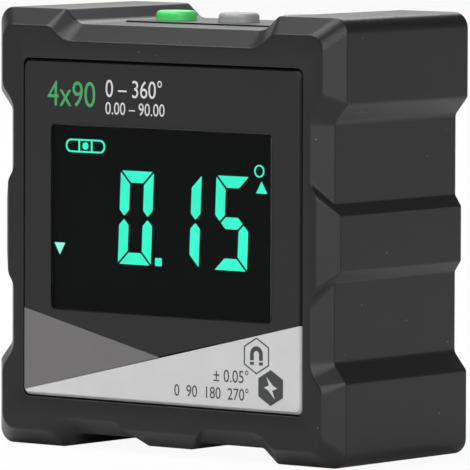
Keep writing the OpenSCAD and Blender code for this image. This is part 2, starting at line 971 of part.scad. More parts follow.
module left_magnets() {
    magnet_pair(3);
}

cover_head_t = 1.2;

// Rear cover: flat plate let into the rim, countersunk for its four screws
module rear_cover() {
    color("#313236")
        difference() {
            slab(cover_depth, body_d) body_outline(rim_t + cover_gap);
            for (p = boss_places)
                translate([p.x, 0, p.y]) {
                    bar(screw_d + 2 * pass_gap, cover_depth - cut, body_d);
                    at_depth(body_d)
                        rotate([90, 0, 0])
                            cylinder(
                                d1 = head_d + 2 * screw_gap,
                                d2 = screw_d + 2 * pass_gap,
                                h = cover_head_t
                            );
                }
        }
}

// Rubber ring between the rear cover and the ledge of the walls
module cover_seal() {
    color("#222325")
        slab(rim_depth, cover_depth)
            difference() {
                body_outline(rim_t + cover_gap);
                body_outline(wall);
            }
}

module cover_screws() {
    reach = cover_bore - bore_spare;
    color("#4a4c50")
        for (p = boss_places)
            translate([p.x, 0, p.y])
                difference() {
                    union() {
                        bar(screw_d, rim_depth - reach, body_d - cover_head_t / 2);
                        at_depth(body_d)
                            rotate([90, 0, 0])
                                cylinder(d1 = head_d, d2 = screw_d, h = cover_head_t);
                    }
                    cross_recess(body_d);
                }
}

housing();
front_panel();
display_lens();
lcd_segments();
lcd_glass();
lcd_holder();
contact_strips();
light_guide();
backlight_leds();
main_board();
board_screws();
microcontroller();
tilt_sensor();
charger_chip();
small_parts();
charging_socket();
battery();
battery_leads();
battery_pad();
key_plate();
key_seal();
green_key();
centre_key();
right_key();
key_switches();
green_plunger();
centre_plunger();
right_plunger();
left_magnets();
right_magnets();
top_magnets();
bottom_magnets();
rear_cover();
cover_seal();
cover_screws();
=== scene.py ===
"""Digital angle gauge: moulded housing, printed panel with a lit display, three keys, closed back."""

from math import radians

import bpy
import numpy as np
from mathutils import Matrix, Vector


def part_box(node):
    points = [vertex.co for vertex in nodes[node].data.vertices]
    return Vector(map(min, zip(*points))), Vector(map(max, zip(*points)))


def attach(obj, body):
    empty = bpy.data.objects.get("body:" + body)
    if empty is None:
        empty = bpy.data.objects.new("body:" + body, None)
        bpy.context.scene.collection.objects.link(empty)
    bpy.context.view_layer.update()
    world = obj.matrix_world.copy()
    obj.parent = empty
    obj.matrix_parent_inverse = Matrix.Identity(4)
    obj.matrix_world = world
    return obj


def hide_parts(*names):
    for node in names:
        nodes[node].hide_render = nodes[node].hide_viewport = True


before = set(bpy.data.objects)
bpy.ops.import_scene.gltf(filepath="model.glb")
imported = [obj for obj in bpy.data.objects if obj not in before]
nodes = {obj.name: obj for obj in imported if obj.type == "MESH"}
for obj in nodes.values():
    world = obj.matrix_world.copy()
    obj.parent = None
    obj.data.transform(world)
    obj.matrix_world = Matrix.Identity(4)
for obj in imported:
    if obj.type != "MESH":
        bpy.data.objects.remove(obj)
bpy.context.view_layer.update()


# Housing
# The real piece is one injection moulding in dark grey ABS: a square tub, open at the back, with notched
# walls and a chamfer round the whole front. Its lines are softened by the mould, and its skin is
# spark-eroded to a fine matt grain.
def box_mm(node_name):
    """Size of a node and its middle, in millimetres."""
    low, high = (np.array(corner) * 1000 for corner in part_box(node_name))
    return high - low, (high + low) / 2


# Walls, and the rim that takes the cover. Sizes are in millimetres
WIDTH, DEPTH, _ = box_mm("housing")[0]
HALF = WIDTH / 2
WALL = 2.2
FRONT_WALL = 3.5
RIM = 1.2
RIM_STEP = 2.5
RIM_DEPTH = DEPTH - RIM_STEP

# The outline of a side: places along it from its middle, steps below its face and blend radii
CORNER_END = 18.5
RECESS_END = 16.1
RIB_FOOT = 5.2
RIB_TOP = 3.75
RECESS_STEP = 2.0
RIB_STEP = 1.0
BOX_R = 2.1
RAMP_R = 0.8
RECESS_R = 1.2
TOP_RECESS_R = 2.4
RIB_R = 0.5

# The chamfer, the share by which its lines sweep wider, and the share by which its ribs run longer
CHAMFER_IN = 2.3
CHAMFER_DEEP = 2.5
CHAMFER_SWEEP = 0.6
RIB_FLARE = 1.5


def rounded_path(points, radii, steps=6, closed=True):
    """A path with an arc at every corner. The arc of radius r touches both sides r tan(turn / 2) from the
    corner. A further point stands just before and after each arc, so that flats stay flat when shaded."""
    points = np.asarray(points, float)
    radii = np.broadcast_to(np.asarray(radii, float), len(points))
    ahead = np.roll(points, -1, axis=0) - points
    ahead = ahead / np.linalg.norm(ahead, axis=1, keepdims=True)
    behind = np.roll(ahead, 1, axis=0)
    left = np.stack([-behind[:, 1], behind[:, 0]], axis=1)
    turn = np.arctan2((left * ahead).sum(axis=1), (behind * ahead).sum(axis=1))
    reach = (radii * np.tan(np.abs(turn) / 2))[:, None]
    start = points - behind * reach
    arm = -left * (np.sign(turn) * radii)[:, None]
    angle = turn[:, None] * np.linspace(0, 1, steps + 1)
    swept = np.stack([
        arm[:, :1] * np.cos(angle) - arm[:, 1:] * np.sin(angle),
        arm[:, :1] * np.sin(angle) + arm[:, 1:] * np.cos(angle),
    ], axis=2)
    arcs = (start - arm)[:, None] + swept
    # At most 0.06 mm from the arc, and closer where the arc is tight
    spare = np.minimum(0.06, 0.2 * radii + 0.01)[:, None]
    runs = np.concatenate([
        (start - behind * spare)[:, None],
        arcs,
        (points + ahead * (reach + spare))[:, None],
    ], axis=1)
    if closed:
        return runs.reshape(-1, 2)
    return np.concatenate([points[:1], runs[1:-1].reshape(-1, 2), points[-1:]])


def body_corners(by, sweep, flare):
    """Sharp corners and blend radii of the notched outline with every side moved inwards: a corner goes
    along the sum of its two side normals, divided by one plus their product. Hollow corners grow rounder by
    it, those of ramps and ribs by the share called sweep, and ribs grow longer by the share called flare."""
    longer = flare * min(by, CHAMFER_IN)
    foot, top = RIB_FOOT + longer, RIB_TOP + longer
    first = [(-HALF, 0, BOX_R), (-CORNER_END, 0, RAMP_R)]
    last = [(CORNER_END, 0, RAMP_R)]
    rib = [(-foot, RECESS_STEP, RIB_R), (-top, RIB_STEP, RIB_R),
           (top, RIB_STEP, RIB_R), (foot, RECESS_STEP, RIB_R)]
    ribbed = [*first, (-RECESS_END, RECESS_STEP, RECESS_R), *rib,
              (RECESS_END, RECESS_STEP, RECESS_R), *last]
    plain = [*first, (-RECESS_END, RECESS_STEP, TOP_RECESS_R),
             (RECESS_END, RECESS_STEP, TOP_RECESS_R), *last]
    corners = []
    # Base, right, top and left. The top has no rib
    for quarter, profile in enumerate([ribbed, ribbed, plain, ribbed]):
        along, below, radius = np.array(profile, float).T
        turn = 1j ** quarter
        place = (along + 1j * (below - HALF)) * turn
        corners.append(np.stack([place.real, place.imag, radius], axis=1))
    corners = np.concatenate(corners)
    points = corners[:, :2]
    ahead = np.roll(points, -1, axis=0) - points
    ahead = ahead / np.linalg.norm(ahead, axis=1, keepdims=True)
    normal = np.stack([-ahead[:, 1], ahead[:, 0]], axis=1)
    before = np.roll(normal, 1, axis=0)
    share = 1 + (normal * before).sum(axis=1, keepdims=True)
    is_hollow = before[:, 0] * normal[:, 1] < before[:, 1] * normal[:, 0]
    radius = corners[:, 2]
    growth = np.where(is_hollow, 1, np.where(radius == BOX_R, 0, sweep))
    return points + by * (normal + before) / share, radius + by * growth


def facing_front(flat, depth, x=0.0, z=0.0):
    """A flat path as a ring that faces the front, at a depth behind the front face."""
    return np.stack([flat[:, 0] + x, np.full(len(flat), depth - DEPTH / 2), flat[:, 1] + z], axis=1)


def body_ring(by, depth):
    """The notched outline, moved inwards, at a depth behind the front face. Across the chamfer its lines
    sweep wide round the ramps, and the ribs run out longer."""
    on_chamfer = depth < CHAMFER_DEEP
    flat = rounded_path(*body_corners(by, CHAMFER_SWEEP * on_chamfer, RIB_FLARE * on_chamfer))
    return facing_front(flat, depth, z=HALF)


def loft(rings, capped=True):
    """Vertices and faces of a skin over rings of equally many points, each joined to the next by quads. The
    rings run counter-clockwise seen from the first one. A capped skin closes both ends with flat faces, and
    the other kind joins the last ring to the first."""
    rings = np.asarray(rings)
    rows, count = rings.shape[:2]
    index = np.arange(rows * count).reshape(rows, count)
    lower = index[:-1] if capped else index
    upper = index[1:] if capped else np.roll(index, -1, axis=0)
    quads = np.stack([lower, upper, np.roll(upper, -1, axis=1), np.roll(lower, -1, axis=1)], axis=2)
    faces = quads.reshape(-1, 4).tolist()
    if capped:
        faces += [index[0].tolist(), index[-1][::-1].tolist()]
    return rings.reshape(-1, 3), faces


def joined(parts):
    """Several skins as one list of vertices and one of faces."""
    starts = np.cumsum([0] + [len(vertices) for vertices, _ in parts])
    faces = [[i + start for i in face] for start, (_, part) in zip(starts, parts) for face in part]
    return np.concatenate([vertices for vertices, _ in parts]), faces


def shade(mesh):
    """Smooth shading, but for edges sharper than 35 degrees."""
    mesh.polygons.foreach_set("use_smooth", np.ones(len(mesh.polygons), bool))
    mesh.set_sharp_from_angle(angle=radians(35))
    mesh.update()


def make_object(name, skin):
    """A mesh object from a skin in millimetres."""
    vertices, faces = skin
    mesh = bpy.data.meshes.new(name)
    mesh.from_pydata((vertices * 0.001).tolist(), [], faces)
    shade(mesh)
    made = bpy.data.objects.new(name, mesh)
    bpy.context.scene.collection.objects.link(made)
    return made


def merge(target, tool_skin, operation):
    """Join another skin to an object or take it away, and keep the result as the object's own mesh."""
    tool = make_object("tool", tool_skin)
    modifier = target.modifiers.new("merge", "BOOLEAN")
    modifier.operation = operation
    modifier.solver = "EXACT"
    modifier.object = tool
    depsgraph = bpy.context.evaluated_depsgraph_get()
    mesh = bpy.data.meshes.new_from_object(target.evaluated_get(depsgraph))
    target.modifiers.clear()
    target.data = mesh
    bpy.data.objects.remove(tool)
    shade(mesh)


def box_path(width, height, radius):
    """A rectangle with rounded corners about the origin, counter-clockwise."""
    signs = np.array([(-1, -1), (1, -1), (1, 1), (-1, 1)])
    return rounded_path(signs * (width / 2, height / 2), radius)


def unit_circle(count, start=0.0):
    """Points spread evenly on a circle of radius one, counter-clockwise from a start angle."""
    angle = np.linspace(0, 2 * np.pi, count + 1)[:-1] + start
    return np.stack([np.cos(angle), np.sin(angle)], axis=1)


def facing_up(flat, height, x=0.0, y=0.0):
    """A flat path as a ring that faces up, at a height above the base."""
    return np.stack([flat[:, 0] + x, flat[:, 1] + y, np.full(len(flat), height)], axis=1)


# The wall's section from the front face round the back to the inside: how far in, how deep, blend radius.
# The first point only gives the front face its direction
FRONT_FLAT = 8.0
section = np.array([
    (FRONT_FLAT, 0.0, 0.0),
    (CHAMFER_IN, 0.0, 0.4),
    (0.0, CHAMFER_DEEP, 0.35),
    (0.0, DEPTH, 0.5),
    (RIM, DEPTH, 0.25),
    (RIM, RIM_DEPTH, 0.1),
    (WALL, RIM_DEPTH, 0.1),
    (WALL, FRONT_WALL, 0.0),
])
profile = rounded_path(section[:, :2], section[:, 2], closed=False)[1:]
shell = make_object("housing_shell", loft([body_ring(by, depth) for by, depth in profile]))

# Four bosses for the cover's screws and four posts for the board's, all rooted in the front wall
POST_R = 2.3
BORE_R = 1.06
POST_ROOT = 0.5
POST_SIDES = 32
BOSS_X = 25.8
BOSS_HEIGHTS = (4.2, 55.8)
BOSS_BORE = 9.0
POST_X = 20.5
POST_HEIGHTS = (9.0, 50.6)
POST_END = 13.8
POST_BORE = 6.0


def post(x, z, end, bore):
    """A round post from the front wall to a depth, with a blind bore from its free end."""
    root = FRONT_WALL - POST_ROOT
    steps = [(POST_R, root), (POST_R, end), (BORE_R, end), (BORE_R, end - bore)]
    circle = unit_circle(POST_SIDES)
    return loft([facing_front(circle * radius, depth, x, z) for radius, depth in steps])


post_skins = [post(x, z, RIM_DEPTH, BOSS_BORE) for x in (-BOSS_X, BOSS_X) for z in BOSS_HEIGHTS]
post_skins += [post(x, z, POST_END, POST_BORE) for x in (-POST_X, POST_X) for z in POST_HEIGHTS]
merge(shell, joined(post_skins), "UNION")

# The panel's recess, seated a little low and right, with a soft lip that laps over the panel's left bevel.
# Behind it the window for the display goes through the front wall
PANEL_GAP = 0.15
PANEL_SEAT = 0.09
PANEL_LAP = 0.32
PANEL_R = 1.0
LAP_DEPTH = 0.37
LIP_R = 0.12
GLASS_ROOM = 0.15
WINDOW_R = 0.3
# The cutter starts wider and ahead of the front face, and ends past the front wall
CUT_WIDER = 1.0
CUT_AHEAD = 0.8
CUT_PAST = 0.5
(panel_w, panel_t, panel_h), (_, panel_y, panel_z) = box_mm("front_panel")
PANEL_FACE = panel_y - panel_t / 2 + DEPTH / 2
recess = np.array([panel_w, panel_h]) + 2 * PANEL_GAP
recess_z = panel_z - PANEL_SEAT
mouth = recess - (PANEL_LAP, 0)
mouth_x = PANEL_SEAT + PANEL_LAP / 2
(glass_w, _, glass_h), (_, _, glass_z) = box_mm("lcd_glass")
window = np.array([glass_w, glass_h]) + 2 * GLASS_ROOM


def flared(radius, steps=4):
    """Widths and depths of the soft lip of an opening: a quarter round that opens towards the outside."""
    angle = np.linspace(0, np.pi / 2, steps + 1)
    return radius * (1 - np.sin(angle)), radius * (1 - np.cos(angle))


lip = [(CUT_WIDER, -CUT_AHEAD), *zip(*flared(LIP_R)), (0.0, PANEL_FACE)]
panel_rings = [facing_front(box_path(*(mouth + 2 * by), PANEL_R + by), depth, mouth_x, recess_z)
               for by, depth in lip]
panel_rings += [facing_front(box_path(*recess, PANEL_R), PANEL_FACE + depth, PANEL_SEAT, recess_z)
                for depth in (LAP_DEPTH, panel_t)]
panel_rings += [facing_front(box_path(*window, WINDOW_R), depth, 0, glass_z)
                for depth in (PANEL_FACE + panel_t, FRONT_WALL + CUT_PAST)]

# The opening under the key plate, from above the recess's floor to below the top wall
PLATE_LIP = 1.1
PLATE_GAP = 0.1
PLATE_R = 1.1
PLATE_CUT = (58.6, 55.0)
(plate_w, plate_d, _), (_, plate_y, _) = box_mm("key_plate")
plate = np.array([plate_w, plate_d]) - 2 * (PLATE_LIP - PLATE_GAP)
plate_rings = [facing_up(box_path(*plate, PLATE_R), z, 0, plate_y) for z in PLATE_CUT]

# The slot for the charging socket, from inside the left wall to outside it
SOCKET_GAP = 0.15
SOCKET_R = 1.65
SOCKET_CUT = (-25.2, -30.5)
(_, socket_h, socket_w), (_, socket_y, socket_z) = box_mm("charging_socket")
slot = box_path(socket_h + 2 * SOCKET_GAP, socket_w + 2 * SOCKET_GAP, SOCKET_R)
socket_rings = [np.stack([np.full(len(slot), x), slot[:, 0] + socket_y, slot[:, 1] + socket_z], axis=1)
                for x in SOCKET_CUT]
merge(shell, joined([loft(panel_rings), loft(plate_rings), loft(socket_rings)]), "DIFFERENCE")


def linear(colour):
    """An sRGB hex colour as linear red, green, blue and alpha."""
    value = np.array([int(colour[k:k + 2], 16) for k in (1, 3, 5)]) / 255
    bent = np.where(value <= 0.04045, value / 12.92, ((value + 0.055) / 1.055) ** 2.4)
    return (*bent, 1.0)


def add_node(tree, kind, inputs, **settings):
    """Add a shader node with its settings. Each input takes a value or another node's output."""
    made = tree.nodes.new("ShaderNode" + kind)
    for name, value in settings.items():
        setattr(made, name, value)
    for key, value in inputs.items():
        if isinstance(value, bpy.types.NodeSocket):
            tree.links.new(value, made.inputs[key])
        else:
            made.inputs[key].default_value = value
    return made


def new_material(name):
    """An empty material: its node tree, its output node and the place of a point in metres."""
    material = bpy.data.materials.new(name)
    material.use_nodes = True
    tree = material.node_tree
    tree.nodes.clear()
    output = tree.nodes.new("ShaderNodeOutputMaterial")
    place = add_node(tree, "TexCoord", {}).outputs["Object"]
    return material, tree, output, place


# Noise seldom leaves this band
NOISE_BAND = {"From Min": 0.3, "From Max": 0.7}
TONE_DRIFT = 5.0
SPECK_CELL = 3.0
SPECK_TONE = "#5c5c5c"
SHEEN_DRIFT = 0.05


def grained(name, colour, grain=0.3, relief=0.006, mottle=0.08, rough=0.5, shine=0.5, metal=0.0, dust=0.0):
    """A solid material with a fine grain. Grain and relief are the width and height of the grain in mm,
    mottle the share by which the tone drifts over some 5 mm, and dust the radius in mm of pale specks, of
    which a face shows about one in a square centimetre."""
    material, tree, output, place = new_material(name)
    fine = add_node(tree, "TexNoise", {"Vector": place, "Scale": 1000 / grain, "Detail": 2.0})
    broad = add_node(tree, "TexNoise", {"Vector": place, "Scale": 1000 / TONE_DRIFT, "Detail": 3.0})
    drift = add_node(tree, "MapRange", {"Value": broad.outputs[0], **NOISE_BAND,
                                        "To Min": 1 - mottle, "To Max": 1 + mottle})
    base = linear(colour)[:3]
    tone = add_node(tree, "VectorMath", {0: base, "Scale": drift.outputs[0]}, operation="SCALE")
    if dust:
        cell = add_node(tree, "TexVoronoi", {"Vector": place, "Scale": 1000 / SPECK_CELL})
        speck = add_node(tree, "Math", {0: cell.outputs["Distance"], 1: dust / SPECK_CELL},
                         operation="LESS_THAN")
        pale = add_node(tree, "VectorMath", {0: linear(SPECK_TONE)[:3], "Scale": speck.outputs[0]},
                        operation="SCALE")
        tone = add_node(tree, "VectorMath", {0: tone.outputs[0], 1: pale.outputs[0]}, operation="MAXIMUM")
    sheen = add_node(tree, "MapRange", {"Value": fine.outputs[0], **NOISE_BAND,
                                        "To Min": rough - SHEEN_DRIFT, "To Max": rough + SHEEN_DRIFT})
    bump = add_node(tree, "Bump", {"Strength": 1.0, "Distance": relief / 1000, "Height": fine.outputs[0]})
    shader = add_node(tree, "BsdfPrincipled", {
        "Base Color": tone.outputs[0], "Roughness": sheen.outputs[0], "Specular IOR Level": shine,
        "Metallic": metal, "Normal": bump.outputs[0]})
    tree.links.new(shader.outputs[0], output.inputs["Surface"])
    return material


def dress(target, material):
    """Give a piece its material."""
    target.data.materials.clear()
    target.data.materials.append(material)


# The eye sees a near-black plastic whose fine grain breaks every highlight, with a few specks of dust
body_plastic = grained("spark-eroded dark grey ABS", "#171718", grain=0.28, relief=0.010, mottle=0.06,
                       rough=0.36, shine=0.34, dust=0.12)
dress(shell, body_plastic)
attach(shell, "case")
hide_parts("housing")


# Front panel
# The real piece is a plastic plate, screen-printed in dark grey and let into a recess of the front. Its edge
# is bevelled, and the bevel is painted darker and duller as shade of the groove round the panel.
PANEL_EDGE = 0.4
PANEL_SHINE = 0.33
BEVEL_SHADE_SHINE = 0.1
BEVEL_SHADE_TONE = 0.5


def rim_mask(tree, place, width, height, middle, rim):
    """One within a rim's breadth of the outline of an upright rectangle, nought inside it. Lengths are in
    mm, and middle is the height of the rectangle's centre."""
    offset = add_node(tree, "VectorMath", {0: place, 1: (0, 0, middle / 1000)}, operation="SUBTRACT")
    across = add_node(tree, "VectorMath", {0: offset.outputs[0]}, operation="ABSOLUTE")
    parts = add_node(tree, "SeparateXYZ", {0: across.outputs[0]})
    at_side = add_node(tree, "Math", {0: parts.outputs["X"], 1: (width / 2 - rim) / 1000},
                       operation="GREATER_THAN")
    at_end = add_node(tree, "Math", {0: parts.outputs["Z"], 1: (height / 2 - rim) / 1000},
                      operation="GREATER_THAN")
    either = add_node(tree, "Math", {0: at_side.outputs[0], 1: at_end.outputs[0]}, operation="MAXIMUM")
    return either.outputs[0]


# The eye sees an even dark grey, and round it on the bevel a dull dark line of painted shade from the groove
panel_paint = grained("printed panel, dark grey", "#1b1b1c", grain=0.2, relief=0.002, mottle=0.03,
                      rough=0.4, shine=PANEL_SHINE)
tree = panel_paint.node_tree
shader = tree.nodes["Principled BSDF"]
place = tree.nodes["Texture Coordinate"].outputs["Object"]
bevel = rim_mask(tree, place, panel_w, panel_h, panel_z, PANEL_EDGE)
# Painted shade: the bevel is darkened and dulled all round, standing in for the shade in the recess's groove
painted_bevel_shade = add_node(tree, "MapRange", {"Value": bevel, "To Min": 1.0, "To Max": BEVEL_SHADE_TONE})
paint = shader.inputs["Base Color"].links[0].from_socket
toned = add_node(tree, "VectorMath", {0: paint, "Scale": painted_bevel_shade.outputs[0]}, operation="SCALE")
gloss = add_node(tree, "MapRange", {"Value": bevel, "To Min": PANEL_SHINE, "To Max": BEVEL_SHADE_SHINE})
tree.links.new(toned.outputs[0], shader.inputs["Base Color"])
tree.links.new(gloss.outputs[0], shader.inputs["Specular IOR Level"])
dress(nodes["front_panel"], panel_paint)


# Printed fields
# The real pieces are layers of screen-printing ink on the panel: a light silver wedge and a mid-grey corner
# that run over its bevel, a magnet sign, a charging sign and lines of figures.
INK = 0.02


def printed(made, colour):
    """Give a printed piece its ink and let it ride on the case. The eye sees a flat, dull, even colour."""
    ink = grained(made.name.replace("_", " ") + " ink", colour, grain=0.15, relief=0.001, mottle=0.03,
                  rough=0.45, shine=0.3)
    dress(made, ink)
    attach(made, "case")


def ink_over_edge(face, foot, layer=1):
    """A printed field that runs over the panel's bevelled edge: its outline on the face, carried down the
    bevel to a second outline that is as much wider as the bevel, and closed behind it."""
    top = PANEL_FACE - INK * layer
    steps = ((face, top), (foot, top + PANEL_EDGE), (foot, top + PANEL_EDGE + INK))
    return loft([facing_front(path, depth) for path, depth in steps])


# Corner radii, heights at which the silver wedge meets the panel's sides, tip and top of the grey corner
FACE_R = 0.7
JOIN_R = 0.02
LEFT_JOIN = 7.78
RIGHT_JOIN = 18.95
CORNER_TIP = (0.0, 13.45)
CORNER_TOP = 19.0
side = panel_w / 2 + INK
low = panel_z - panel_h / 2 - INK
face_side = side - PANEL_EDGE
face_low = low + PANEL_EDGE
silver_face = [(-face_side, face_low), (face_side, face_low),
               (face_side, RIGHT_JOIN), (-face_side, LEFT_JOIN)]
silver_foot = [(-side, low), (side, low), (side, RIGHT_JOIN), (-side, LEFT_JOIN)]
grey_face = [(-face_side, LEFT_JOIN), CORNER_TIP, (-face_side, CORNER_TOP)]
grey_foot = [(-side, LEFT_JOIN), CORNER_TIP, (-side, CORNER_TOP)]
silver_skin = ink_over_edge(rounded_path(silver_face, [FACE_R, FACE_R, JOIN_R, JOIN_R]),
                            rounded_path(silver_foot, [PANEL_R, PANEL_R, JOIN_R, JOIN_R]))
grey_skin = ink_over_edge(rounded_path(grey_face, JOIN_R), rounded_path(grey_foot, JOIN_R), layer=2)
printed(make_object("silver_wedge", silver_skin), "#bdbdbd")
printed(make_object("grey_corner", grey_skin), "#666465")


def ink_shape(flat, layer, x, z):
    """A printed field: a flat outline that is one layer of ink thick, on the layers below it."""
    top = PANEL_FACE - INK * layer
    return loft([facing_front(flat, depth, x, z) for depth in (top, top + INK)])


def ink_ring(outer, inner, layer, x, z):
    """A printed line that closes on itself, between an outer and an inner outline of equally many points."""
    top = PANEL_FACE - INK * layer
    steps = ((outer, top), (outer, top + INK), (inner, top + INK), (inner, top))
    return loft([facing_front(path, depth, x, z) for path, depth in steps], capped=False)


def hexagon(radius):
    """A hexagon that stands on its point."""
    return radius * unit_circle(6, np.pi / 6)


def horseshoe(outer, inner, leg, steps=12):
    """A horseshoe magnet with its legs down: an outer and an inner half circle with straight legs below."""
    angle = np.linspace(0, np.pi, steps + 1)
    arch = np.stack([np.cos(angle), np.sin(angle)], axis=1)
    ends = np.array([(-outer, -leg), (-inner, -leg)])
    return np.concatenate([[(outer, -leg)], arch * outer, ends, arch[::-1] * inner, [(inner, -leg)]])[::-1]


# The magnet sign: a line round a horseshoe and its two poles
MAGNET_X, MAGNET_Z = 16.64, 14.59
LINE_OUTER, LINE_INNER = 2.48, 2.27
ARCH_OUTER, ARCH_INNER, ARCH_LEG = 1.08, 0.45, 0.84
ARCH_LIFT = 0.22
POLE_OUT, POLE_DOWN = 0.77, 1.03
POLE_W, POLE_H = 0.64, 0.40
pole = np.array([(-1, -1), (1, -1), (1, 1), (-1, 1)]) * (POLE_W / 2, POLE_H / 2)
arch = horseshoe(ARCH_OUTER, ARCH_INNER, ARCH_LEG)
badges = [ink_ring(hexagon(LINE_OUTER), hexagon(LINE_INNER), 2, MAGNET_X, MAGNET_Z),
          ink_shape(arch, 2, MAGNET_X, MAGNET_Z + ARCH_LIFT)]
badges += [ink_shape(pole, 2, MAGNET_X + out, MAGNET_Z - POLE_DOWN) for out in (-POLE_OUT, POLE_OUT)]

# The charging sign: a dark hexagon with a light bolt, whose two halves are each other turned by half a turn
CHARGE_X, CHARGE_Z = 19.07, 10.42
CHARGE_R = 2.42
half_bolt = np.array([(-0.27, 0.34), (-1.10, 0.02), (-0.36, -0.36), (0.70, -1.46)])
bolt = np.concatenate([half_bolt, -half_bolt])
badges += [ink_shape(hexagon(CHARGE_R), 2, CHARGE_X, CHARGE_Z)]
printed(make_object("dark_badges", joined(badges)), "#3c3d3f")
printed(make_object("light_bolt", ink_shape(bolt, 3, CHARGE_X, CHARGE_Z)), "#bdbdbd")

# Height of the figures as a share of the type's size, and how far they are narrowed
FIGURE_SHARE = 0.73
FIGURE_WIDTH = 0.87


def figures(name, words, height, x, z, colour, align="LEFT"):
    """Plain figures as ink on the panel's face. Height is that of the figures in millimetres."""
    curve = bpy.data.curves.new(name, "FONT")
    curve.body = words
    curve.align_x = align
    curve.size = height / FIGURE_SHARE / 1000
    curve.extrude = INK / 2 / 1000
    text = bpy.data.objects.new(name + "_outline", curve)
    bpy.context.scene.collection.objects.link(text)
    depsgraph = bpy.context.evaluated_depsgraph_get()
    mesh = bpy.data.meshes.new_from_object(text.evaluated_get(depsgraph))
    bpy.data.objects.remove(text)
    flat = np.empty(len(mesh.vertices) * 3)
    mesh.vertices.foreach_get("co", flat)
    flat = flat.reshape(-1, 3) * 1000
    face_y = PANEL_FACE - 1.5 * INK - DEPTH / 2
    placed = np.stack([flat[:, 0] * FIGURE_WIDTH + x, face_y - flat[:, 2], flat[:, 1] + z], axis=1)
    mesh.vertices.foreach_set("co", placed.ravel() * 0.001)
    mesh.update()
    made = bpy.data.objects.new(name, mesh)
    bpy.context.scene.collection.objects.link(made)
    printed(made, colour)


figures("green_figures", "4x90", 3.6, -19.8, 46.85, "#42925a")
figures("range_figures", "0 – 360°", 2.45, -9.6, 48.35, "#c6c6c8")
figures("span_figures", "0.00 – 90.00", 1.75, -9.6, 46.0, "#c6c6c8")
figures("step_figures", "± 0.05°", 1.75, 15.4, 10.8, "#3c3d3f", "RIGHT")
figures("side_figures", "0  90  180  270°", 1.65, 15.4, 8.45, "#3c3d3f", "RIGHT")


# Display
# The real piece is a black display glass with lit mint-green figures behind a smoked acrylic lens, which is
# bevelled round its edge and stands just proud of the panel.
LIT_CLOUD = 3.33
GLOW_LOW, GLOW_HIGH = 0.94, 1.04
# The paler sign lies left of and below these places
PALE_LEFT = -16.0
PALE_BELOW = 36.0


def lit(name, colour, pale, strength):
    """A lit field. The eye sees a glow that drifts a little over some 3 mm, paler in the low left sign."""
    material, tree, output, place = new_material(name)
    cloud = add_node(tree, "TexNoise", {"Vector": place, "Scale": 1000 / LIT_CLOUD, "Detail": 1.0})
    drift = add_node(tree, "MapRange", {"Value": cloud.outputs[0], **NOISE_BAND,
                                        "To Min": strength * GLOW_LOW, "To Max": strength * GLOW_HIGH})
    parts = add_node(tree, "SeparateXYZ", {0: place})
    at_left = add_node(tree, "Math", {0: parts.outputs["X"], 1: PALE_LEFT / 1000}, operation="LESS_THAN")
    is_low = add_node(tree, "Math", {0: parts.outputs["Z"], 1: PALE_BELOW / 1000}, operation="LESS_THAN")
    is_pale = add_node(tree, "Math", {0: at_left.outputs[0], 1: is_low.outputs[0]}, operation="MULTIPLY")
    hue = add_node(tree, "Mix", {0: is_pale.outputs[0], 6: linear(colour), 7: linear(pale)},
                   data_type="RGBA")
    glow = add_node(tree, "Emission", {"Color": hue.outputs[2], "Strength": drift.outputs[0]})
    tree.links.new(glow.outputs[0], output.inputs["Surface"])
    return material


# Width of the lens's bevel, how much face and bevel cover and blur, and the smear that blurs the face
LENS_BEVEL = 0.1
LENS_COVER = 0.05
BEVEL_COVER = 0.8
LENS_BLUR = 0.04
BEVEL_BLUR = 0.3
LENS_SMEAR = 11.1
SMEAR_BLUR = 0.04


def smoked(name, colour, width, height, middle):
    """A thin smoked plate. The eye sees what lies behind it with a sharp gloss that is smeared over some
    11 mm, and a dull dark line at its bevelled rim. Sizes are in mm."""
    material, tree, output, place = new_material(name)
    smear = add_node(tree, "TexNoise", {"Vector": place, "Scale": 1000 / LENS_SMEAR, "Detail": 2.0})
    rim = rim_mask(tree, place, width, height, middle, LENS_BEVEL)
    alpha = add_node(tree, "MapRange", {"Value": rim, "To Min": LENS_COVER, "To Max": BEVEL_COVER})
    dull = add_node(tree, "MapRange", {"Value": rim, "To Min": LENS_BLUR, "To Max": BEVEL_BLUR})
    blur = add_node(tree, "Math", {0: smear.outputs[0], 1: SMEAR_BLUR, 2: dull.outputs[0]},
                    operation="MULTIPLY_ADD")
    shader = add_node(tree, "BsdfPrincipled", {
        "Base Color": linear(colour), "Roughness": blur.outputs[0], "Alpha": alpha.outputs[0]})
    tree.links.new(shader.outputs[0], output.inputs["Surface"])
    return material


# Behind the lens the eye sees a black with next to no gloss
display_glass = grained("black display glass", "#040505", grain=0.5, relief=0.0, mottle=0.1, rough=0.3,
                        shine=0.02)
(lens_w, _, lens_h), (_, _, lens_z) = box_mm("display_lens")
lens_acrylic = smoked("smoked acrylic lens", "#101112", lens_w, lens_h, lens_z)
dress(nodes["lcd_segments"], lit("lit display segment", "#3efad0", "#98fbe0", 1.05))
dress(nodes["lcd_glass"], display_glass)
dress(nodes["display_lens"], lens_acrylic)


# Keys
# The real pieces are moulded ABS caps that stand out of a plate in the top edge, just proud of its recess.
# Each has a soft edge, a flange under the plate and a stem to its switch. One is green, the others are grey.
KEY_SIZE = np.array([5.5, 4.7])
KEY_R = 2.0
KEY_EDGE = 0.6
EDGE_RINGS = 8
KEY_DOME = 0.08
# Insets of the dome's rings, and the share of an inset by which a ring's corners tighten
DOME_RINGS = np.array([2.2, 1.6, 1.1])
CORNER_SHARE = 0.85
# How far the flange laps under the plate, and the heights of its two faces
FLANGE_LAP = 0.9
FLANGE = (54.95, 55.75)
STEM_R = 1.3


